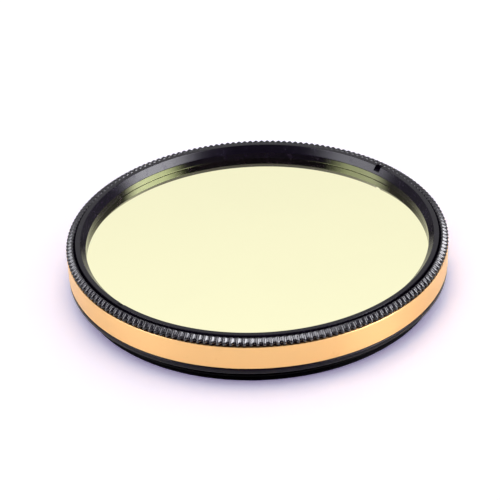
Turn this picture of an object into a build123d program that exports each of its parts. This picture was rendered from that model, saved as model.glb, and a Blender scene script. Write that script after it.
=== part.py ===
from build123d import *
import math
import os

# Mounted round optical filter. Millimetres, +Z up, the optical axis on Z, the origin at the middle
# of the rear face that the filter rests on.

# Threads
THREAD_DIAMETER = 48.0       # M48, outside below and inside above
THREAD_LENGTH = 2.0          # outside thread with its relief groove
THREAD_LEAD = 0.3
THREAD_RELIEF_WIDTH = 0.35
THREAD_RELIEF_DEPTH = 0.5
THREAD_CLEARANCE = 0.05      # radial, between the inside thread and the ring in it

# Outside of the cell, from the flange up
FLANGE_HEIGHT = 0.65
FLANGE_INSET = 0.1           # below the tips of the knurl
FLANGE_EDGE = 0.08
LOWER_GROOVE_HEIGHT = 0.15
LOWER_GROOVE_DEPTH = 0.3
BAND_HEIGHT = 3.2
BAND_INSET = 0.05            # below the tips of the knurl
BAND_WALL = 0.4
BAND_CLEARANCE = 0.02        # bond line behind the band
BAND_EDGE = 0.08
BAND_SPLIT = 0.12            # butt joint, at the back
UPPER_GROOVE_HEIGHT = 0.2
UPPER_GROOVE_DEPTH = 0.1     # below the roots of the knurl

# Knurled rim
RIM_OVERHANG = 1.25          # radial, from the thread out to the tips of the knurl
KNURL_HEIGHT = 0.8
KNURL_BEVEL_WIDTH = 0.62
KNURL_BEVEL_HEIGHT = 0.5
TOOTH_COUNT = 190
TOOTH_DEPTH = 0.38
RIM_MOUTH = 0.45             # 45 degree mouth of the inside thread

# Glass and its seat
GLASS_INSET = 0.6            # radial, inside the thread that the glass is put in through
GLASS_THICKNESS = 2.0
GLASS_EDGE = 0.15
GLASS_CLEARANCE = 0.1
SEAT_WIDTH = 0.9
REAR_BORE_EDGE = 0.3

# Retaining ring
RING_HEIGHT = 1.8
RING_OVERLAP = 0.75          # of the glass's edge
RING_MOUTH_WIDTH = 0.73
RING_MOUTH_DEPTH = 0.9
RING_EDGE = 0.08
RING_SHOULDER_GAP = 0.2      # free depth of the inside thread under the ring
NOTCH_WIDTH = 1.0
NOTCH_DEPTH = 0.6
NOTCH_END_WALL = 0.15
NOTCH_ANGLE = 42.5

# Heights from the rear face up
flange_top_z = THREAD_LENGTH + FLANGE_HEIGHT
band_z = flange_top_z + LOWER_GROOVE_HEIGHT
band_top_z = band_z + BAND_HEIGHT
knurl_z = band_top_z + UPPER_GROOVE_HEIGHT
top_z = knurl_z + KNURL_HEIGHT
ring_z = top_z - RING_HEIGHT
glass_z = ring_z - GLASS_THICKNESS
thread_floor_z = ring_z - RING_SHOULDER_GAP

# Radii
thread_r = THREAD_DIAMETER / 2
rim_r = thread_r + RIM_OVERHANG
root_r = rim_r - TOOTH_DEPTH
flange_r = rim_r - FLANGE_INSET
band_r = rim_r - BAND_INSET
band_inner_r = band_r - BAND_WALL
barrel_r = band_inner_r - BAND_CLEARANCE
lower_groove_r = flange_r - LOWER_GROOVE_DEPTH
upper_groove_r = root_r - UPPER_GROOVE_DEPTH
female_r = thread_r + THREAD_CLEARANCE
glass_r = thread_r - GLASS_INSET
seat_r = glass_r + GLASS_CLEARANCE
rear_bore_r = glass_r - SEAT_WIDTH
ring_bore_r = glass_r - RING_OVERLAP
ring_mouth_r = ring_bore_r + RING_MOUTH_WIDTH


def turned(points):
    """Solid turned about Z from a closed half profile of (radius, height) points."""
    profile = make_face(Polyline([(r, 0, z) for r, z in points], close=True).edges())
    return revolve(profile, Axis.Z, 360)


def knurl_outline(scale, z):
    """Closed zigzag outline with one tip and one root for each tooth."""
    pitch = 2 * math.pi / TOOTH_COUNT
    corners = []
    for tooth in range(TOOTH_COUNT):
        for radius, angle in ((rim_r, tooth * pitch), (root_r, (tooth + 0.5) * pitch)):
            reach = radius * scale
            corners.append((reach * math.cos(angle), reach * math.sin(angle), z))
    return make_face(Polyline(corners, close=True).edges())


def knurled_rim():
    """Toothed disc, upright below and bevelled above, with the grooves running over the bevel."""
    bevel_z = top_z - KNURL_BEVEL_HEIGHT
    upright = extrude(knurl_outline(1, knurl_z), amount=bevel_z - knurl_z, dir=(0, 0, 1))
    narrowed = (rim_r - KNURL_BEVEL_WIDTH) / rim_r
    bevel = loft([knurl_outline(1, bevel_z), knurl_outline(narrowed, top_z)], ruled=True)
    return upright + bevel


def cell_body():
    """Turned cell: knurled rim, grooved barrel, flange and male thread, bored for glass and ring."""
    relief_z = THREAD_LENGTH - THREAD_RELIEF_WIDTH
    relief_r = thread_r - THREAD_RELIEF_DEPTH
    barrel = turned([
        (0, 0),
        (thread_r - THREAD_LEAD, 0),
        (thread_r, THREAD_LEAD),
        (thread_r, relief_z),
        (relief_r, relief_z),
        (relief_r, THREAD_LENGTH),
        (flange_r - FLANGE_EDGE, THREAD_LENGTH),
        (flange_r, THREAD_LENGTH + FLANGE_EDGE),
        (flange_r, flange_top_z - FLANGE_EDGE),
        (flange_r - FLANGE_EDGE, flange_top_z),
        (lower_groove_r, flange_top_z),
        (lower_groove_r, band_z),
        (barrel_r, band_z),
        (barrel_r, band_top_z),
        (upper_groove_r, band_top_z),
        (upper_groove_r, knurl_z),
        (0, knurl_z),
    ])
    bore = turned([
        (0, 0),
        (rear_bore_r + REAR_BORE_EDGE, 0),
        (rear_bore_r, REAR_BORE_EDGE),
        (rear_bore_r, glass_z),
        (seat_r, glass_z),
        (seat_r, thread_floor_z),
        (female_r, thread_floor_z),
        (female_r, top_z - RIM_MOUTH),
        (female_r + RIM_MOUTH, top_z),
        (0, top_z),
    ])
    return barrel + knurled_rim() - bore


def colour_band():
    """Thin band sprung round the barrel between the two grooves, with its butt joint at the back."""
    sleeve = turned([
        (band_inner_r, band_z),
        (band_r - BAND_EDGE, band_z),
        (band_r, band_z + BAND_EDGE),
        (band_r, band_top_z - BAND_EDGE),
        (band_r - BAND_EDGE, band_top_z),
        (band_inner_r, band_top_z),
    ])
    joint = Pos(0, band_r, (band_z + band_top_z) / 2) * Box(BAND_SPLIT, 4 * BAND_WALL, 2 * BAND_HEIGHT)
    return sleeve - joint


def filter_glass():
    """Round glass with a small ground bevel at both edges, lying on the seat."""
    return turned([
        (0, glass_z),
        (glass_r - GLASS_EDGE, glass_z),
        (glass_r, glass_z + GLASS_EDGE),
        (glass_r, ring_z - GLASS_EDGE),
        (glass_r - GLASS_EDGE, ring_z),
        (0, ring_z),
    ])


def retaining_ring():
    """Ring screwed in flush with the rim, coned at its mouth, with two spanner notches."""
    ring = turned([
        (ring_bore_r, ring_z),
        (thread_r - RING_EDGE, ring_z),
        (thread_r, ring_z + RING_EDGE),
        (thread_r, top_z - RING_EDGE),
        (thread_r - RING_EDGE, top_z),
        (ring_mouth_r, top_z),
        (ring_bore_r, top_z - RING_MOUTH_DEPTH),
    ])
    reach = thread_r - NOTCH_END_WALL
    slot = Pos(reach / 2, 0, top_z - NOTCH_DEPTH / 2) * Box(reach, NOTCH_WIDTH, NOTCH_DEPTH)
    for angle in (NOTCH_ANGLE, NOTCH_ANGLE + 180):
        ring -= Rot(0, 0, angle) * slot
    return ring


os.makedirs("parts", exist_ok=True)
export_step(cell_body(), "parts/cell_body.step")
export_step(colour_band(), "parts/colour_band.step")
export_step(filter_glass(), "parts/filter_glass.step")
export_step(retaining_ring(), "parts/retaining_ring.step")
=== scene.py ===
import math

import bmesh
import bpy
from bpy.props import FloatProperty, FloatVectorProperty, IntProperty, PointerProperty
from mathutils import Matrix, Vector


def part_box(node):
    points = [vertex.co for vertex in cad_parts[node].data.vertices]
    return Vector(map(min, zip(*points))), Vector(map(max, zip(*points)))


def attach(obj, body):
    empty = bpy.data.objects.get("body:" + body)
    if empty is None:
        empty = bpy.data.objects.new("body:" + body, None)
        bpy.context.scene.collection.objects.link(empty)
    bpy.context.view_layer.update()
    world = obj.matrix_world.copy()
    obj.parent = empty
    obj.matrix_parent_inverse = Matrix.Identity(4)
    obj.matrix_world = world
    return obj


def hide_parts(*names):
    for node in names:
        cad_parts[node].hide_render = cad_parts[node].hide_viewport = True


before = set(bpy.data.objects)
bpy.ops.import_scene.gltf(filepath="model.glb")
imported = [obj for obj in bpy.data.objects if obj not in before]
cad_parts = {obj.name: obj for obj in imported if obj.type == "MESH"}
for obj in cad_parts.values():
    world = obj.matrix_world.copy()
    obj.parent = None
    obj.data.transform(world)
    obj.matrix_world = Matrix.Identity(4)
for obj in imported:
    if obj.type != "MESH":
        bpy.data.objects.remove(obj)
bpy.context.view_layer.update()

bl_info = {
    "name": "Mounted Bandpass Filter",
    "version": (1, 0, 0),
    "blender": (4, 5, 0),
    "location": "View3D > Sidebar > Filter",
    "description": "Builds a mounted optical bandpass filter and a pale table to show it on",
    "category": "Mesh",
}

MM = 0.001
NEAR = 0.001 * MM  # places closer than this count as the same

# Places read from the CAD parts of model.glb
CELL_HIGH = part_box("cell_body")[1]
BAND_LOW, BAND_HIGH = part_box("colour_band")
GLASS_LOW, GLASS_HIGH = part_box("filter_glass")
RING_LOW, RING_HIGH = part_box("retaining_ring")
TOP_Z = CELL_HIGH.z
RIM_R = CELL_HIGH.x
BAND_R = BAND_HIGH.x
GLASS_R = GLASS_HIGH.x
THREAD_R = RING_HIGH.x

# The photograph, 500 pixels square: where its rim's centre lies, and the camera that took it
PHOTO_SIZE = 500
RIM_CENTRE_PIXEL = (256.7, 231.5)
CAMERA_DISTANCE = 260 * MM
CAMERA_ELEVATION = math.radians(31.8)
CAMERA_ROLL = math.radians(-2.35)
CAMERA_LENS = 141.7
CAMERA_SENSOR = 36.0

# How finely the pieces are divided
BARREL_COLUMNS = 384
GLASS_COLUMNS = 384
BAND_COLUMNS = 512
RING_COLUMNS = 512
COLUMNS_PER_TOOTH = 10
ROWS_PER_PITCH = 18
LEAD_CUTS = 6
BEVEL_CUTS = 4
RING_CUTS = 7

# What the world shows to matt surfaces and to the camera, and the room that glossy ones mirror
MATT_WORLD = (0.9, 0.9, 0.9)
CAMERA_WORLD = (1.0, 1.0, 1.0)
DIM_SIDES = (0.36, 0.35, 0.38)
DARK_CAMERA_SIDE = (0.06, 0.06, 0.07)
SOFTBOXES = ((-15, (20.0, 20.0, 21.0)), (-168, (10.0, 10.0, 10.6)))  # azimuth, radiance

# Soft edges in that room: the height, or the cosine to a direction, where each begins and ends
BACK_LIGHT = (0.42, 0.64, 0.917, 1.08)  # two heights, and the light below and above them
BACK_EDGE = (0.72, 0.92)
OVERHEAD_EDGE = (0.95, 0.985)
CAMERA_SIDE_EDGE = (0.5, 0.8)
SOFTBOX_SIDES = (0.12, 0.42)
SOFTBOX_LOWER_EDGE = (0.33, 0.46)
SOFTBOX_UPPER_EDGE = (0.76, 0.88)

# The table and the lamp over it, in metres and watts
TABLE_RADIUS = 1.6
TABLE_SHOWN = (1.13, 1.13, 1.13)  # past white, so that only its shaded parts show
LAMP_SIZE = 1.2
LAMP_HEIGHT = 1.0
LAMP_POWER = 0.5


def length_setting(name, description, millimetres):
    """A length of the sidebar, kept in metres."""
    return FloatProperty(
        name=name, description=description, default=millimetres * MM, unit="LENGTH", precision=5)


def colour_setting(name, description, default):
    """A colour of the sidebar."""
    return FloatVectorProperty(
        name=name, description=description, default=default, size=3, min=0, max=1,
        subtype="COLOR")


class FilterSizes(bpy.types.PropertyGroup):
    """Sizes of the filter's small features"""

    tooth_count: IntProperty(
        name="Teeth", description="Teeth of the knurl round the rim", default=190, min=12)
    tooth_depth: length_setting("Tooth Depth", "From the tips of the knurl to its roots", 0.38)
    knurl_height: length_setting("Knurl Height", "Height of the knurled rim", 0.8)
    bevel_width: length_setting("Bevel Width", "Radial width of the knurled bevel", 0.62)
    bevel_height: length_setting("Bevel Height", "Height of the knurled bevel", 0.5)
    crown: length_setting("Crown", "Rounding between the knurled bevel and the upright knurl", 0.16)
    mouth: length_setting("Mouth", "Chamfer at the mouth of the inside thread", 0.45)
    thread_clearance: length_setting(
        "Thread Clearance", "Radial play of the retaining ring in the cell", 0.05)
    thread_run_out: length_setting("Thread Run-out", "Inside thread below the retaining ring", 0.2)
    upper_groove: length_setting(
        "Upper Groove", "Depth of the groove over the band, below the roots", 0.1)
    band_wall: length_setting("Band Wall", "Thickness of the colour band", 0.4)
    band_clearance: length_setting("Band Clearance", "Radial play of the band on the barrel", 0.02)
    band_lower_edge: length_setting(
        "Band Lower Edge", "Rounding of the colour band's lower edge", 0.128)
    band_upper_edge: length_setting(
        "Band Upper Edge", "Rounding of the colour band's upper edge", 0.032)
    band_joint: length_setting("Band Joint", "Gap of the butt joint at the back", 0.12)
    flange_inset: length_setting(
        "Flange Inset", "Flange below the tips of the knurl, radially", 0.1)
    flange_edge: length_setting("Flange Edge", "Chamfer of the flange's two edges", 0.08)
    lower_groove_height: length_setting(
        "Lower Groove Height", "Height of the groove under the band", 0.15)
    lower_groove_depth: length_setting(
        "Lower Groove Depth", "Depth of the groove under the band", 0.3)
    thread_length: length_setting("Thread Length", "Outside thread with its relief groove", 2.0)
    thread_pitch: length_setting("Thread Pitch", "Pitch of the outside thread", 0.75)
    thread_depth: length_setting("Thread Depth", "From crest to root of the outside thread", 0.42)
    thread_lead: length_setting("Thread Lead", "Chamfer at the start of the outside thread", 0.3)
    relief_width: length_setting("Relief Width", "Width of the thread's relief groove", 0.35)
    relief_depth: length_setting("Relief Depth", "Depth of the thread's relief groove", 0.5)
    seat_width: length_setting("Seat Width", "Width of the seat under the glass", 0.9)
    glass_clearance: length_setting("Glass Clearance", "Radial play of the glass in the cell", 0.1)
    glass_edge: length_setting("Glass Edge", "Ground bevel at both edges of the glass", 0.15)
    ring_overlap: length_setting(
        "Ring Overlap", "How far the retaining ring covers the glass", 0.75)
    ring_mouth_width: length_setting(
        "Ring Mouth Width", "Radial width of the ring's coned mouth", 0.73)
    ring_mouth_depth: length_setting("Ring Mouth Depth", "Depth of the ring's coned mouth", 0.9)
    notch_width: length_setting("Notch Width", "Width of the two spanner notches", 1.0)
    notch_depth: length_setting("Notch Depth", "Depth of the two spanner notches", 0.6)
    notch_end_wall: length_setting("Notch End Wall", "Wall left outside each spanner notch", 0.15)
    notch_angle: FloatProperty(
        name="Notch Angle", description="Place of the first spanner notch",
        default=math.radians(42.5), subtype="ANGLE")
    edge_break: length_setting(
        "Edge Break", "Small rounding left by deburring on turned edges", 0.03)


class FilterColours(bpy.types.PropertyGroup):
    """Colours of the filter and its table"""

    black: colour_setting(
        "Black Anodising", "Colour of the cell and the retaining ring", (0.005, 0.003, 0.009))
    ridge_grey: colour_setting(
        "Ridge Grey", "Colour of the lighter tips of the knurl", (0.10, 0.095, 0.105))
    copper: colour_setting("Copper Anodising", "Colour of the band", (0.99, 0.595, 0.265))
    copper_stain: colour_setting(
        "Copper Stain", "Colour of the band's faint stains", (0.72, 0.30, 0.10))
    coating: colour_setting(
        "Filter Coating", "Colour that the coated glass mirrors", (0.955, 0.93, 0.615))
    table: colour_setting("Table", "Colour of the table", (0.95, 0.95, 0.95))
    shade: colour_setting(
        "Shade", "Faint light of the table that tints its shaded parts", (0.03, 0.0, 0.14))


def corner_at(bm, radius, height):
    """The vertex of a half profile that lies nearest to a radius and a height."""
    return min(bm.verts, key=lambda v: (v.co.x - radius) ** 2 + (v.co.z - height) ** 2)


def edge_at(bm, first, second):
    """The edge of a half profile between two places, each a radius and a height."""
    return bm.edges.get((corner_at(bm, *first), corner_at(bm, *second)))


def half_profile(points, rounded=()):
    """A closed half profile in the XZ plane; rounded holds (radius, height, rounding, segments)."""
    bm = bmesh.new()
    bm.faces.new([bm.verts.new((radius, 0, height)) for radius, height in points])
    for radius, height, rounding, segments in rounded:
        bmesh.ops.bevel(
            bm, geom=[corner_at(bm, radius, height)], offset=rounding, offset_type="OFFSET",
            affect="VERTICES", segments=segments, profile=0.5, material=-1)
    bmesh.ops.delete(bm, geom=bm.faces[:], context="FACES_ONLY")
    return bm


def spin_profile(bm, columns, start=0.0, sweep=2 * math.pi):
    """Spins a half profile round Z, all the way or over a sweep that is closed with two caps."""
    bmesh.ops.rotate(bm, cent=(0, 0, 0), matrix=Matrix.Rotation(start, 3, "Z"), verts=bm.verts[:])
    full = sweep >= 2 * math.pi
    bmesh.ops.spin(
        bm, geom=bm.verts[:] + bm.edges[:], cent=(0, 0, 0), axis=(0, 0, 1), dvec=(0, 0, 0),
        angle=sweep, steps=columns, use_merge=full, use_duplicate=False)
    if not full:
        bmesh.ops.holes_fill(bm, edges=[e for e in bm.edges if e.is_boundary], sides=0)


def new_object(name, bm):
    """An object of the scene made from a bmesh, which is freed."""
    mesh = bpy.data.meshes.new(name)
    bm.to_mesh(mesh)
    bm.free()
    made = bpy.data.objects.new(name, mesh)
    bpy.context.scene.collection.objects.link(made)
    return made


def finished_piece(name, bm, materials, node):
    """Makes the piece from its bmesh, with outward faces, and lets it stand for a CAD node."""
    bmesh.ops.remove_doubles(bm, verts=bm.verts[:], dist=NEAR / 2)
    bmesh.ops.dissolve_degenerate(bm, dist=NEAR / 5, edges=bm.edges[:])
    bmesh.ops.recalc_face_normals(bm, faces=bm.faces[:])
    for face in bm.faces:
        face.smooth = True
    piece = new_object(name, bm)
    for material in materials:
        piece.data.materials.append(material)
    weighted = piece.modifiers.new("Flat Faces Stay Flat", "WEIGHTED_NORMAL")
    weighted.mode = "FACE_AREA"
    weighted.keep_sharp = True
    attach(piece, "root")
    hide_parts(node)
    return piece


def new_node(tree, kind, settings=None, **inputs):
    """Adds a node; its sockets take values or links, named by index (i0) or by label."""
    made = tree.nodes.new(kind)
    for key, value in (settings or {}).items():
        setattr(made, key, value)
    for key, value in inputs.items():
        by_index = key[0] == "i" and key[1:].isdigit()
        socket = made.inputs[int(key[1:]) if by_index else key.replace("_", " ")]
        if isinstance(value, bpy.types.NodeSocket):
            tree.links.new(value, socket)
        else:
            socket.default_value = value
    return made


def maths(tree, operation, first, second=0.0):
    """Output of a Math node."""
    made = new_node(tree, "ShaderNodeMath", {"operation": operation}, i0=first, i1=second)
    return made.outputs[0]


def ramp(tree, value, low, high, to_low=0.0, to_high=1.0):
    """Output of a smooth Map Range node."""
    made = new_node(
        tree, "ShaderNodeMapRange", {"interpolation_type": "SMOOTHSTEP"},
        i0=value, i1=low, i2=high, i3=to_low, i4=to_high)
    return made.outputs[0]


def blend_colour(tree, share, first, second):
    """Output of a colour Mix node; a colour is a socket or three numbers."""
    made = new_node(tree, "ShaderNodeMix", {"data_type": "RGBA"}, i0=share)
    for socket, value in ((made.inputs[6], first), (made.inputs[7], second)):
        if isinstance(value, bpy.types.NodeSocket):
            tree.links.new(value, socket)
        else:
            socket.default_value = (*value, 1.0)
    return made.outputs[2]


def new_group(name, inputs, output):
    """An empty node group with a vector, float inputs (name, default) and one float output."""
    group = bpy.data.node_groups.new(name, "ShaderNodeTree")
    group.interface.new_socket(name="Vector", in_out="INPUT", socket_type="NodeSocketVector")
    for label, default in inputs:
        socket = group.interface.new_socket(
            name=label, in_out="INPUT", socket_type="NodeSocketFloat")
        socket.default_value = default
    group.interface.new_socket(name=output, in_out="OUTPUT", socket_type="NodeSocketFloat")
    return group, group.nodes.new("NodeGroupInput"), group.nodes.new("NodeGroupOutput")


def turning_marks_group():
    """Fine circles left by the lathe: height lines round the axis, uneven from place to place."""
    if "Turning Marks" in bpy.data.node_groups:
        return bpy.data.node_groups["Turning Marks"]
    group, given, result = new_group(
        "Turning Marks", [("Lines per Metre", 9000.0), ("Unevenness", 0.5)], "Height")
    parts = new_node(group, "ShaderNodeSeparateXYZ", i0=given.outputs["Vector"])
    radius = maths(group, "SQRT", maths(
        group, "ADD", maths(group, "MULTIPLY", parts.outputs[0], parts.outputs[0]),
        maths(group, "MULTIPLY", parts.outputs[1], parts.outputs[1])))
    travel = maths(group, "SUBTRACT", radius, parts.outputs[2])
    lines = maths(group, "MULTIPLY", travel, given.outputs["Lines per Metre"])
    bands = new_node(
        group, "ShaderNodeTexNoise", {"noise_dimensions": "1D"}, W=lines, Scale=1.0, Detail=2.0)
    drift = new_node(
        group, "ShaderNodeTexNoise", Vector=given.outputs["Vector"], Scale=260.0, Detail=1.0)
    share = maths(group, "MULTIPLY", drift.outputs[0], given.outputs["Unevenness"])
    height = maths(group, "MULTIPLY", bands.outputs[0], maths(group, "SUBTRACT", 1.0, share))
    group.links.new(height, result.inputs[0])
    return group


def blotches_group():
    """Slow uneven patches, for colour and roughness."""
    if "Blotches" in bpy.data.node_groups:
        return bpy.data.node_groups["Blotches"]
    group, given, result = new_group("Blotches", [("Scale", 300.0), ("Share", 0.4)], "Mask")
    patches = new_node(
        group, "ShaderNodeTexNoise", Vector=given.outputs["Vector"],
        Scale=given.outputs["Scale"], Detail=4.0, Roughness=0.6)
    low = maths(group, "SUBTRACT", 0.75, maths(group, "MULTIPLY", given.outputs["Share"], 0.5))
    mask = ramp(group, patches.outputs[0], low, maths(group, "ADD", low, 0.2))
    group.links.new(mask, result.inputs[0])
    return group


def specks_group():
    """Small separate dots, such as dust."""
    if "Dust Specks" in bpy.data.node_groups:
        return bpy.data.node_groups["Dust Specks"]
    group, given, result = new_group(
        "Dust Specks", [("Scale", 400.0), ("Size", 0.06), ("Share", 0.2)], "Mask")
    cells = new_node(
        group, "ShaderNodeTexVoronoi", {"feature": "F1"}, Vector=given.outputs["Vector"],
        Scale=given.outputs["Scale"], Randomness=1.0)
    chance = new_node(group, "ShaderNodeSeparateColor", i0=cells.outputs["Color"])
    chosen = maths(group, "LESS_THAN", chance.outputs[0], given.outputs["Share"])
    reach = maths(group, "MULTIPLY", given.outputs["Size"], chance.outputs[1])
    core = maths(group, "MULTIPLY", reach, 0.5)
    dot = ramp(group, cells.outputs["Distance"], core, reach, 1.0, 0.0)
    group.links.new(maths(group, "MULTIPLY", dot, chosen), result.inputs[0])
    return group


def place_group(tree, group, vector, **values):
    """Puts a node group in a material with its own values."""
    made = new_node(tree, "ShaderNodeGroup", {"node_tree": group}, Vector=vector)
    for key, value in values.items():
        made.inputs[key.replace("_", " ")].default_value = value
    return made.outputs[0]


def new_material(name):
    """A material with its Principled shader and its Object coordinates."""
    material = bpy.data.materials.new(name)
    material.use_nodes = True
    tree = material.node_tree
    place = new_node(tree, "ShaderNodeTexCoord").outputs["Object"]
    return material, tree, tree.nodes["Principled BSDF"], place


def add_bump(tree, shader, height, strength, distance):
    """Feeds a height to the shader's normal."""
    bump = new_node(tree, "ShaderNodeBump", Height=height, Strength=strength, Distance=distance)
    tree.links.new(bump.outputs[0], shader.inputs["Normal"])


def black_anodised(name, lines, roughness, specular, ridges=False, shade=1.0, tint=(1, 1, 1),
                   marks_strength=0.25):
    """Black anodised aluminium with lathe marks, and lighter grey tips on ridges where the piece
    has them; shade darkens its black as painted shade, and tint colours its gloss as a painted
    reflection.
    """
    colours = bpy.context.scene.filter_colours
    material, tree, shader, place = new_material(name)
    patches = place_group(tree, blotches_group(), place, Scale=900.0, Share=0.5)
    dust = place_group(tree, specks_group(), place, Scale=1500.0, Size=0.16, Share=0.10)
    black = Vector(colours.black) * shade
    colour = blend_colour(tree, patches, black, black * 1.7)
    if ridges:
        # Lighter grey on the knurl's tips, broken up by noise
        ridge = new_node(tree, "ShaderNodeAttribute", {"attribute_name": "ridge"})
        grain = new_node(tree, "ShaderNodeTexNoise", Vector=place, Scale=5200.0, Detail=3.0)
        tip_patches = ramp(tree, grain.outputs[0], 0.38, 0.62)
        tip_mask = maths(tree, "MULTIPLY", ridge.outputs["Fac"], tip_patches)
        colour = blend_colour(tree, tip_mask, colour, Vector(colours.ridge_grey))
    grey = (0.3, 0.29, 0.3)
    colour = blend_colour(tree, maths(tree, "MULTIPLY", dust, 0.1), colour, grey)
    tree.links.new(colour, shader.inputs["Base Color"])
    matt = ramp(tree, patches, 0.0, 1.0, roughness, roughness + 0.08)
    tree.links.new(matt, shader.inputs["Roughness"])
    shader.inputs["Specular IOR Level"].default_value = specular
    shader.inputs["Specular Tint"].default_value = (*tint, 1.0)
    marks = place_group(tree, turning_marks_group(), place, Lines_per_Metre=lines)
    add_bump(tree, shader, marks, strength=marks_strength, distance=0.004 * MM)
    return material


def copper_anodised():
    """Polished copper-coloured anodising with faint stains and fine lathe marks."""
    colours = bpy.context.scene.filter_colours
    material, tree, shader, place = new_material("copper_anodised")
    stains = place_group(tree, blotches_group(), place, Scale=420.0, Share=0.25)
    spots = place_group(tree, specks_group(), place, Scale=700.0, Size=0.2, Share=0.12)
    copper = Vector(colours.copper)
    stain = Vector(colours.copper_stain)
    colour = blend_colour(tree, maths(tree, "MULTIPLY", stains, 0.3), copper, stain)
    colour = blend_colour(tree, maths(tree, "MULTIPLY", spots, 0.3), colour, stain)
    tree.links.new(colour, shader.inputs["Base Color"])
    shader.inputs["Metallic"].default_value = 1.0
    tree.links.new(ramp(tree, stains, 0.0, 1.0, 0.29, 0.36), shader.inputs["Roughness"])
    shader.inputs["Anisotropic"].default_value = 0.9
    upright = new_node(tree, "ShaderNodeCombineXYZ", Z=1.0)
    tree.links.new(upright.outputs[0], shader.inputs["Tangent"])
    marks = place_group(tree, turning_marks_group(), place, Lines_per_Metre=14000.0)
    add_bump(tree, shader, marks, strength=0.12, distance=0.002 * MM)
    return material


def coated_glass():
    """Glass under a mirror coating, with a few specks of dust on it."""
    colours = bpy.context.scene.filter_colours
    material, tree, shader, place = new_material("coated_glass")
    coating = Vector(colours.coating)
    haze = place_group(tree, blotches_group(), place, Scale=70.0, Share=0.6)
    dust = place_group(tree, specks_group(), place, Scale=160.0, Size=0.025, Share=0.06)
    colour = blend_colour(tree, maths(tree, "MULTIPLY", haze, 0.25), coating, coating * 0.97)
    speck = (0.55, 0.52, 0.33)
    colour = blend_colour(tree, maths(tree, "MULTIPLY", dust, 0.6), colour, speck)
    tree.links.new(colour, shader.inputs["Base Color"])
    shader.inputs["Metallic"].default_value = 1.0
    tree.links.new(ramp(tree, dust, 0.0, 1.0, 0.02, 0.5), shader.inputs["Roughness"])
    return material


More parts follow.
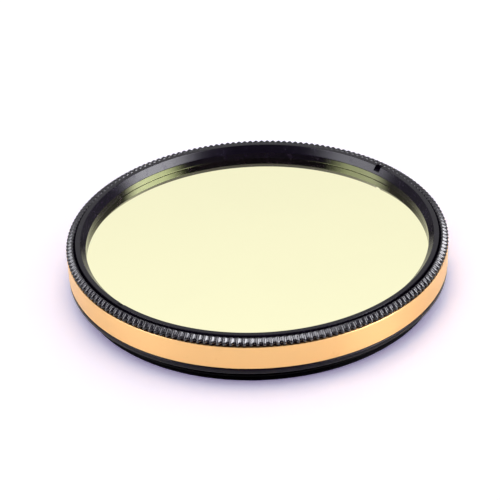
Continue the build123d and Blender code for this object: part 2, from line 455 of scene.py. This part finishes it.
class FILTER_OT_cell(bpy.types.Operator):
    """Build the barrel with its flange and thread, and the knurled rim on it"""

    bl_idname = "filter.cell"
    bl_label = "Cell"

    def execute(self, context):
        sizes = context.scene.filter_sizes
        self.barrel(sizes)
        self.rim(sizes)
        return {"FINISHED"}

    def barrel(self, sizes):
        """Turned barrel below the rim, with the helix of the outside thread cut in it."""
        rim_z = TOP_Z - sizes.knurl_height
        flange_r = RIM_R - sizes.flange_inset
        flange_top = BAND_LOW.z - sizes.lower_groove_height
        lower_r = flange_r - sizes.lower_groove_depth
        upper_r = RIM_R - sizes.tooth_depth - sizes.upper_groove
        barrel_r = BAND_R - sizes.band_wall - sizes.band_clearance
        bore_r = GLASS_R - sizes.seat_width
        seat_r = GLASS_R + sizes.glass_clearance
        female_r = THREAD_R + sizes.thread_clearance
        thread_floor = RING_LOW.z - sizes.thread_run_out
        relief_z = sizes.thread_length - sizes.relief_width
        relief_r = THREAD_R - sizes.relief_depth
        edge = sizes.flange_edge
        bm = half_profile([
            (bore_r + sizes.thread_lead, 0),
            (THREAD_R - sizes.thread_lead, 0),
            (THREAD_R, sizes.thread_lead),
            (THREAD_R, relief_z),
            (relief_r, relief_z),
            (relief_r, sizes.thread_length),
            (flange_r - edge, sizes.thread_length),
            (flange_r, sizes.thread_length + edge),
            (flange_r, flange_top - edge),
            (flange_r - edge, flange_top),
            (lower_r, flange_top),
            (lower_r, BAND_LOW.z),
            (barrel_r, BAND_LOW.z),
            (barrel_r, BAND_HIGH.z),
            (upper_r, BAND_HIGH.z),
            (upper_r, rim_z),
            (female_r, rim_z),
            (female_r, thread_floor),
            (seat_r, thread_floor),
            (seat_r, GLASS_LOW.z),
            (bore_r, GLASS_LOW.z),
            (bore_r, sizes.thread_lead),
        ])
        thread_start = (THREAD_R, sizes.thread_lead)
        thread_wall = edge_at(bm, thread_start, (THREAD_R, relief_z))
        lead_wall = edge_at(bm, (THREAD_R - sizes.thread_lead, 0), thread_start)
        turns = (relief_z - sizes.thread_lead) / sizes.thread_pitch
        bmesh.ops.subdivide_edges(bm, edges=[thread_wall], cuts=ROWS_PER_PITCH * math.ceil(turns))
        bmesh.ops.subdivide_edges(bm, edges=[lead_wall], cuts=LEAD_CUTS)
        spin_profile(bm, BARREL_COLUMNS)
        self.cut_thread(bm, sizes, relief_z)
        for face in bm.faces:
            if face.calc_center_median().z < sizes.thread_length:
                face.material_index = 1
        materials = [
            black_anodised("black_barrel", 12000.0, 0.32, 0.2),
            # Painted shade: the thread's black is cut to 0.15 of the cell's, for the shadow under
            # the flange
            black_anodised("black_thread", 12000.0, 0.4, 0.06, shade=0.15),
        ]
        finished_piece("cell_barrel", bm, materials, "cell_body")

    def cut_thread(self, bm, sizes, relief_z):
        """Moves the thread wall in to a helical groove with flat crests and roots."""
        crest_share = 0.16
        flank_share = 0.68
        inner_r = THREAD_R - sizes.thread_lead - NEAR
        for vert in bm.verts:
            radius = math.hypot(vert.co.x, vert.co.y)
            if vert.co.z > relief_z + NEAR or radius < inner_r:
                continue
            angle = math.atan2(vert.co.y, vert.co.x)
            turn = vert.co.z / sizes.thread_pitch - angle / (2 * math.pi)
            share = abs((turn % 1.0) * 2 - 1)
            groove = min(max((share - crest_share) / flank_share, 0.0), 1.0) * sizes.thread_depth
            target = min(radius, THREAD_R - groove)
            vert.co.x *= target / radius
            vert.co.y *= target / radius

    def rim(self, sizes):
        """Knurled rim: a turned ring whose teeth are cut by moving its outer wall in."""
        rim_z = TOP_Z - sizes.knurl_height
        female_r = THREAD_R + sizes.thread_clearance
        mouth_r = female_r + sizes.mouth
        top_r = RIM_R - sizes.bevel_width
        bevel_z = TOP_Z - sizes.bevel_height
        foot = 0.04 * MM
        bm = half_profile([
            (female_r, rim_z),
            (RIM_R - sizes.tooth_depth - sizes.upper_groove, rim_z),
            (RIM_R - foot, rim_z),
            (RIM_R, rim_z + foot),
            (RIM_R, bevel_z),
            (top_r, TOP_Z),
            (mouth_r, TOP_Z),
            (female_r, TOP_Z - sizes.mouth),
        ], [(RIM_R, bevel_z, sizes.crown, 4)])
        bevel = max(
            corner_at(bm, top_r, TOP_Z).link_edges, key=lambda e: max(v.co.x for v in e.verts))
        bmesh.ops.subdivide_edges(bm, edges=[bevel], cuts=BEVEL_CUTS)
        spin_profile(bm, COLUMNS_PER_TOOTH * sizes.tooth_count)
        self.cut_teeth(bm, sizes, mouth_r, top_r)
        material = black_anodised("black_knurl", 12000.0, 0.24, 0.6, ridges=True)
        finished_piece("knurled_rim", bm, [material], "cell_body")

    def cut_teeth(self, bm, sizes, mouth_r, top_r):
        """Scales the outer wall in at each groove; over the bevel a groove ends at the mouth."""
        slope = sizes.bevel_width / sizes.bevel_height
        tip_round = 0.35
        root_round = 0.15
        tip_fade = 2.5
        full = 1 - tip_round / 2 - root_round / 2
        ridge = bm.verts.layers.float.new("ridge")
        for vert in bm.verts:
            radius = math.hypot(vert.co.x, vert.co.y)
            if radius < mouth_r - NEAR:
                continue
            angle = math.atan2(vert.co.y, vert.co.x) * sizes.tooth_count / (2 * math.pi)
            share = abs((angle + 0.5) % 1.0 - 0.5) * 2
            if share < tip_round:
                fall = share * share / (2 * tip_round)
            elif share > 1 - root_round:
                fall = full - (1 - share) ** 2 / (2 * root_round)
            else:
                fall = share - tip_round / 2
            scale = 1 - fall / full * sizes.tooth_depth / RIM_R
            drop = (mouth_r - top_r * scale) / (1 + slope * scale)
            height = vert.co.z
            if radius > mouth_r + NEAR:
                target = radius * scale
                vert[ridge] = max(0.0, 1 - fall / full * tip_fade)
            else:
                target = radius
            if drop > 0 and height > TOP_Z - drop:
                height = TOP_Z - drop
                target = mouth_r - drop
            vert.co = (vert.co.x * target / radius, vert.co.y * target / radius, height)


class FILTER_OT_band(bpy.types.Operator):
    """Build the copper-coloured band round the barrel, with its joint at the back"""

    bl_idname = "filter.band"
    bl_label = "Colour Band"

    def execute(self, context):
        sizes = context.scene.filter_sizes
        inner_r = BAND_R - sizes.band_wall
        bm = half_profile([
            (inner_r, BAND_LOW.z),
            (BAND_R, BAND_LOW.z),
            (BAND_R, BAND_HIGH.z),
            (inner_r, BAND_HIGH.z),
        ], [
            (BAND_R, BAND_LOW.z, sizes.band_lower_edge, 4),
            (BAND_R, BAND_HIGH.z, sizes.band_upper_edge, 3),
        ])
        gap = sizes.band_joint / BAND_R
        spin_profile(bm, BAND_COLUMNS, math.pi / 2 + gap / 2, 2 * math.pi - gap)
        finished_piece("copper_band", bm, [copper_anodised()], "colour_band")
        return {"FINISHED"}


class FILTER_OT_glass(bpy.types.Operator):
    """Build the coated glass"""

    bl_idname = "filter.glass"
    bl_label = "Glass"

    def execute(self, context):
        sizes = context.scene.filter_sizes
        bm = bmesh.new()
        bmesh.ops.create_cone(
            bm, cap_ends=True, cap_tris=False, segments=GLASS_COLUMNS, radius1=GLASS_R,
            radius2=GLASS_R, depth=GLASS_HIGH.z - GLASS_LOW.z,
            matrix=Matrix.Translation((0, 0, (GLASS_LOW.z + GLASS_HIGH.z) / 2)))
        rims = [e for e in bm.edges if abs(e.verts[0].co.z - e.verts[1].co.z) < NEAR]
        bmesh.ops.bevel(
            bm, geom=rims, offset=sizes.glass_edge, offset_type="OFFSET", affect="EDGES",
            segments=1, profile=0.5, material=-1)
        finished_piece("coated_disc", bm, [coated_glass()], "filter_glass")
        return {"FINISHED"}


class FILTER_OT_ring(bpy.types.Operator):
    """Build the retaining ring with its coned mouth and two spanner notches"""

    bl_idname = "filter.ring"
    bl_label = "Retaining Ring"

    def execute(self, context):
        sizes = context.scene.filter_sizes
        bore_r = GLASS_R - sizes.ring_overlap
        mouth_r = bore_r + sizes.ring_mouth_width
        cone_z = TOP_Z - sizes.ring_mouth_depth
        edge = sizes.edge_break
        bm = half_profile([
            (bore_r, RING_LOW.z),
            (THREAD_R, RING_LOW.z),
            (THREAD_R, TOP_Z),
            (mouth_r, TOP_Z),
            (bore_r, cone_z),
        ], [
            (bore_r, RING_LOW.z, edge, 2),
            (THREAD_R, RING_LOW.z, edge * 2, 2),
            (THREAD_R, TOP_Z, edge * 2, 3),
            (mouth_r, TOP_Z, edge, 3),
            (bore_r, cone_z, edge, 3),
        ])
        # The tall walls are divided, or the edges' roundings would bend their shading
        tall = 0.3 * MM
        walls = [e for e in bm.edges if e.calc_length() > tall]
        bmesh.ops.subdivide_edges(bm, edges=walls, cuts=RING_CUTS)
        spin_profile(bm, RING_COLUMNS)
        for face in bm.faces:
            middle = face.calc_center_median()
            if RING_LOW.z < middle.z < cone_z and math.hypot(middle.x, middle.y) < bore_r + edge:
                face.material_index = 1
        # Painted reflection: the bore's gloss is tinted yellow-green as if it mirrored light off
        # the coated glass
        painted_reflection_tint = (0.87, 1.0, 0.6)
        materials = [
            black_anodised("black_ring", 16000.0, 0.2, 0.2),
            black_anodised("black_bore", 16000.0, 0.1, 0.3, tint=painted_reflection_tint, marks_strength=0.08),
        ]
        piece = finished_piece("notched_ring", bm, materials, "retaining_ring")
        self.cut_notches(piece, sizes)
        return {"FINISHED"}

    def cut_notches(self, piece, sizes):
        """Cuts both notches in the finished ring with two blocks."""
        reach = THREAD_R - sizes.notch_end_wall
        block_length = 4 * MM
        bm = bmesh.new()
        for turn in (0, math.pi):
            block = bmesh.ops.create_cube(bm, size=1.0)["verts"]
            size = (block_length, sizes.notch_width, 2 * sizes.notch_depth)
            bmesh.ops.scale(bm, vec=size, verts=block)
            bmesh.ops.translate(bm, vec=(reach - block_length / 2, 0, TOP_Z), verts=block)
            bmesh.ops.rotate(
                bm, cent=(0, 0, 0), matrix=Matrix.Rotation(sizes.notch_angle + turn, 3, "Z"),
                verts=block)
        blocks = new_object("notch_blocks", bm)
        cut = piece.modifiers.new("Notches", "BOOLEAN")
        cut.operation = "DIFFERENCE"
        cut.solver = "EXACT"
        cut.object = blocks
        # The cut is applied alone; the weighted normals stay a modifier and come after it
        piece.modifiers.move(1, 0)
        graph = bpy.context.evaluated_depsgraph_get()
        piece.modifiers[1].show_viewport = False
        graph.update()
        cut_mesh = bpy.data.meshes.new_from_object(piece.evaluated_get(graph))
        cut_mesh.name = "notched_ring_cut"
        piece.modifiers.remove(cut)
        piece.modifiers[0].show_viewport = True
        piece.data = cut_mesh
        bpy.data.objects.remove(blocks)


class FILTER_OT_stage(bpy.types.Operator):
    """Build the table, the lights, the surroundings and the camera"""

    bl_idname = "filter.stage"
    bl_label = "Table, Lights and Camera"

    def execute(self, context):
        self.table()
        self.surroundings(context.scene)
        self.overhead_lamp()
        self.camera(context.scene)
        context.scene.view_settings.view_transform = "Standard"
        return {"FINISHED"}

    def table(self):
        """Pale round table under the filter, white to the camera where nothing shades it."""
        bm = bmesh.new()
        bmesh.ops.create_circle(bm, cap_ends=True, segments=96, radius=TABLE_RADIUS)
        top = new_object("table", bm)
        material, tree, shader, place = new_material("pale_table")
        paper = new_node(tree, "ShaderNodeTexNoise", Vector=place, Scale=25.0, Detail=2.0)
        pale = Vector(bpy.context.scene.filter_colours.table)
        colour = blend_colour(tree, paper.outputs[0], pale, pale * 0.98)
        shader.inputs["Roughness"].default_value = 0.9
        shader.inputs["Specular IOR Level"].default_value = 0.1
        seen = new_node(tree, "ShaderNodeLightPath")
        shown = seen.outputs["Is Camera Ray"]
        for kind in ("Is Glossy Ray", "Is Transmission Ray"):
            shown = maths(tree, "MAXIMUM", shown, seen.outputs[kind])
        colour = blend_colour(tree, shown, colour, TABLE_SHOWN)
        tree.links.new(colour, shader.inputs["Base Color"])
        shade = Vector(bpy.context.scene.filter_colours.shade)
        shader.inputs["Emission Color"].default_value = (*shade, 1.0)
        tree.links.new(seen.outputs["Is Camera Ray"], shader.inputs["Emission Strength"])
        top.data.materials.append(material)

    def surroundings(self, scene):
        """White world, in which glossy rays see a room with a dark camera side and two lights."""
        world = bpy.data.worlds.new("studio")
        scene.world = world
        world.use_nodes = True
        tree = world.node_tree
        background = tree.nodes["Background"]
        way = new_node(tree, "ShaderNodeTexCoord").outputs["Generated"]
        to_camera = (0, -math.cos(CAMERA_ELEVATION), math.sin(CAMERA_ELEVATION))
        to_back = (0, math.cos(CAMERA_ELEVATION), math.sin(CAMERA_ELEVATION))
        height = new_node(tree, "ShaderNodeSeparateXYZ", i0=way).outputs[2]
        light = ramp(tree, height, *BACK_LIGHT)
        white = new_node(tree, "ShaderNodeCombineColor", i0=light, i1=light, i2=light).outputs[0]
        back = ramp(tree, self.along(tree, way, to_back), *BACK_EDGE)
        overhead = ramp(tree, height, *OVERHEAD_EDGE)
        room = blend_colour(tree, maths(tree, "MAXIMUM", back, overhead), DIM_SIDES, white)
        front = ramp(tree, self.along(tree, way, to_camera), *CAMERA_SIDE_EDGE)
        front = maths(tree, "MULTIPLY", front, maths(tree, "SUBTRACT", 1.0, overhead))
        room = blend_colour(tree, front, room, DARK_CAMERA_SIDE)
        for azimuth, radiance in SOFTBOXES:
            room = blend_colour(tree, self.softbox(tree, way, height, azimuth), room, radiance)
        seen = new_node(tree, "ShaderNodeLightPath")
        colour = blend_colour(tree, seen.outputs["Is Glossy Ray"], MATT_WORLD, room)
        colour = blend_colour(tree, seen.outputs["Is Camera Ray"], colour, CAMERA_WORLD)
        tree.links.new(colour, background.inputs["Color"])
        background.inputs["Strength"].default_value = 1.0

    def along(self, tree, way, direction):
        """How far a way points along a direction."""
        made = new_node(
            tree, "ShaderNodeVectorMath", {"operation": "DOT_PRODUCT"}, i0=way, i1=direction)
        return made.outputs["Value"]

    def softbox(self, tree, way, height, azimuth):
        """Mask of a soft-edged light; azimuth turns from +X towards +Y, in degrees."""
        turn = math.radians(azimuth)
        across = self.along(tree, way, (-math.sin(turn), math.cos(turn), 0))
        ahead = self.along(tree, way, (math.cos(turn), math.sin(turn), 0))
        sides = ramp(tree, maths(tree, "ABSOLUTE", across), *SOFTBOX_SIDES, 1.0, 0.0)
        lower = ramp(tree, height, *SOFTBOX_LOWER_EDGE)
        upper = ramp(tree, height, *SOFTBOX_UPPER_EDGE, 1.0, 0.0)
        mask = maths(tree, "MULTIPLY", sides, maths(tree, "MULTIPLY", lower, upper))
        return maths(tree, "MULTIPLY", mask, maths(tree, "GREATER_THAN", ahead, 0.0))

    def overhead_lamp(self):
        """Wide soft lamp high over the table, too weak to cast a shadow of its own."""
        lamp = bpy.data.lights.new("overhead_softbox", "AREA")
        lamp.shape = "DISK"
        lamp.size = LAMP_SIZE
        lamp.energy = LAMP_POWER
        light = bpy.data.objects.new("overhead_softbox", lamp)
        light.location = (0, 0, LAMP_HEIGHT)
        bpy.context.scene.collection.objects.link(light)

    def camera(self, scene):
        """Camera of the photograph: the rim's centre falls on its pixel."""
        data = bpy.data.cameras.new("photo_camera")
        data.sensor_width = CAMERA_SENSOR
        data.lens = CAMERA_LENS
        data.clip_start = 0.01
        data.clip_end = 10.0
        camera = bpy.data.objects.new("photo_camera", data)
        bpy.context.scene.collection.objects.link(camera)
        centre = Vector((0, 0, TOP_Z))
        back = Vector((0, -math.cos(CAMERA_ELEVATION), math.sin(CAMERA_ELEVATION)))
        place = centre + back * CAMERA_DISTANCE
        turn = back.to_track_quat("Z", "Y").to_matrix() @ Matrix.Rotation(CAMERA_ROLL, 3, "Z")
        scale = CAMERA_DISTANCE * CAMERA_SENSOR / CAMERA_LENS / PHOTO_SIZE
        right = (PHOTO_SIZE / 2 - RIM_CENTRE_PIXEL[0]) * scale
        up = (RIM_CENTRE_PIXEL[1] - PHOTO_SIZE / 2) * scale
        aim = centre + turn @ Vector((right, up, 0))
        look = (place - aim).normalized()
        shift = (turn @ Vector((0, 0, 1))).rotation_difference(look)
        camera.rotation_euler = (shift.to_matrix() @ turn).to_euler()
        camera.location = place
        scene.camera = camera


class VIEW3D_PT_filter(bpy.types.Panel):
    """Lists the filter's pieces and their sizes and colours"""

    bl_idname = "VIEW3D_PT_filter"
    bl_label = "Bandpass Filter"
    bl_space_type = "VIEW_3D"
    bl_region_type = "UI"
    bl_category = "Filter"

    def draw(self, context):
        for operator in OPERATORS:
            self.layout.operator(operator.bl_idname)
        for group in (context.scene.filter_sizes, context.scene.filter_colours):
            for name in group.__annotations__:
                self.layout.prop(group, name)


OPERATORS = (FILTER_OT_cell, FILTER_OT_band, FILTER_OT_glass, FILTER_OT_ring, FILTER_OT_stage)
CLASSES = (FilterSizes, FilterColours, *OPERATORS, VIEW3D_PT_filter)


def register():
    """Adds the classes, and the settings to the scene."""
    for cls in CLASSES:
        bpy.utils.register_class(cls)
    bpy.types.Scene.filter_sizes = PointerProperty(type=FilterSizes)
    bpy.types.Scene.filter_colours = PointerProperty(type=FilterColours)


def unregister():
    """Takes the settings and the classes away again."""
    del bpy.types.Scene.filter_colours
    del bpy.types.Scene.filter_sizes
    for cls in reversed(CLASSES):
        bpy.utils.unregister_class(cls)


def main():
    """Builds the filter and its stage."""
    register()
    bpy.ops.filter.cell()
    bpy.ops.filter.band()
    bpy.ops.filter.glass()
    bpy.ops.filter.ring()
    bpy.ops.filter.stage()


if __name__ == "__main__":
    main()
